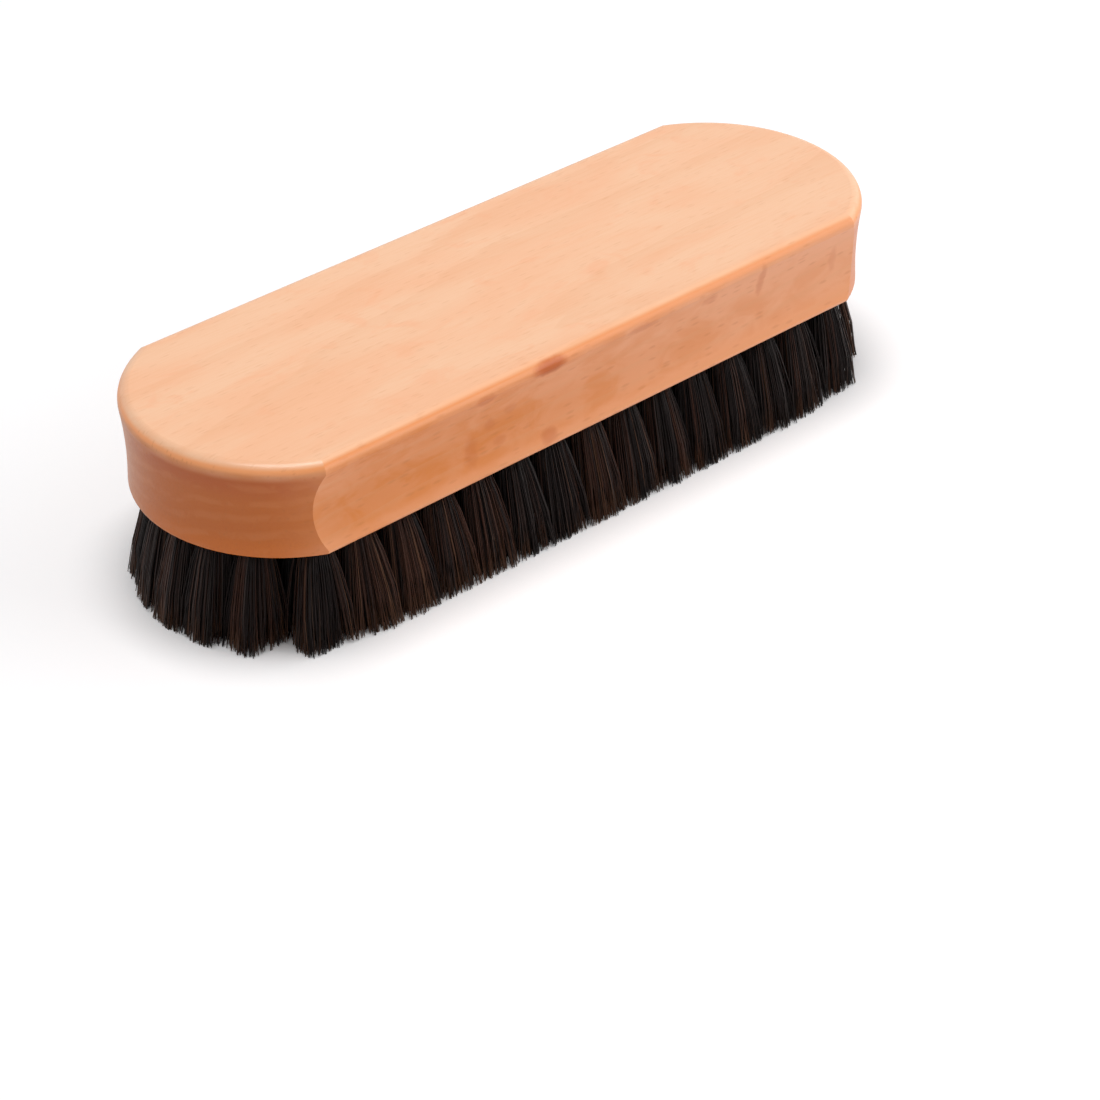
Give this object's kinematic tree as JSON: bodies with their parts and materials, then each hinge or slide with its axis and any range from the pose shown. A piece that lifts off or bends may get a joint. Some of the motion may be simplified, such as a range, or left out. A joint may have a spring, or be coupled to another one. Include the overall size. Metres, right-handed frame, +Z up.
{
  "type": "shoe shine brush",
  "caption": "Oblong hand brush for polishing shoes: a flat beech block with curved ends and shallow finger grooves, filled below with staggered tufts of dark horsehair.",
  "frame": {"origin": "bottom centre: the middle of the plane that the bristle tips stand on", "axes": "+X along the block's length, +Y across it, +Z up from the tips to the flat top of the block"},
  "size_m": [0.1502, 0.0512, 0.0362],
  "materials": {
    "beech": "satin clear finish",
    "horsehair": "dark brown natural hair, slightly glossy",
    "anchor_wire": "plain drawn flat wire"
  },
  "bodies": {
    "root": {"block": "beech", "bristle_row_1": "horsehair", "bristle_row_2": "horsehair", "bristle_row_3": "horsehair", "bristle_row_4": "horsehair", "bristle_row_5": "horsehair", "bristle_row_6": "horsehair", "bristle_row_7": "horsehair", "anchor_row_1": "anchor_wire", "anchor_row_2": "anchor_wire", "anchor_row_3": "anchor_wire", "anchor_row_4": "anchor_wire", "anchor_row_5": "anchor_wire", "anchor_row_6": "anchor_wire", "anchor_row_7": "anchor_wire"}
  },
  "joints": []
}
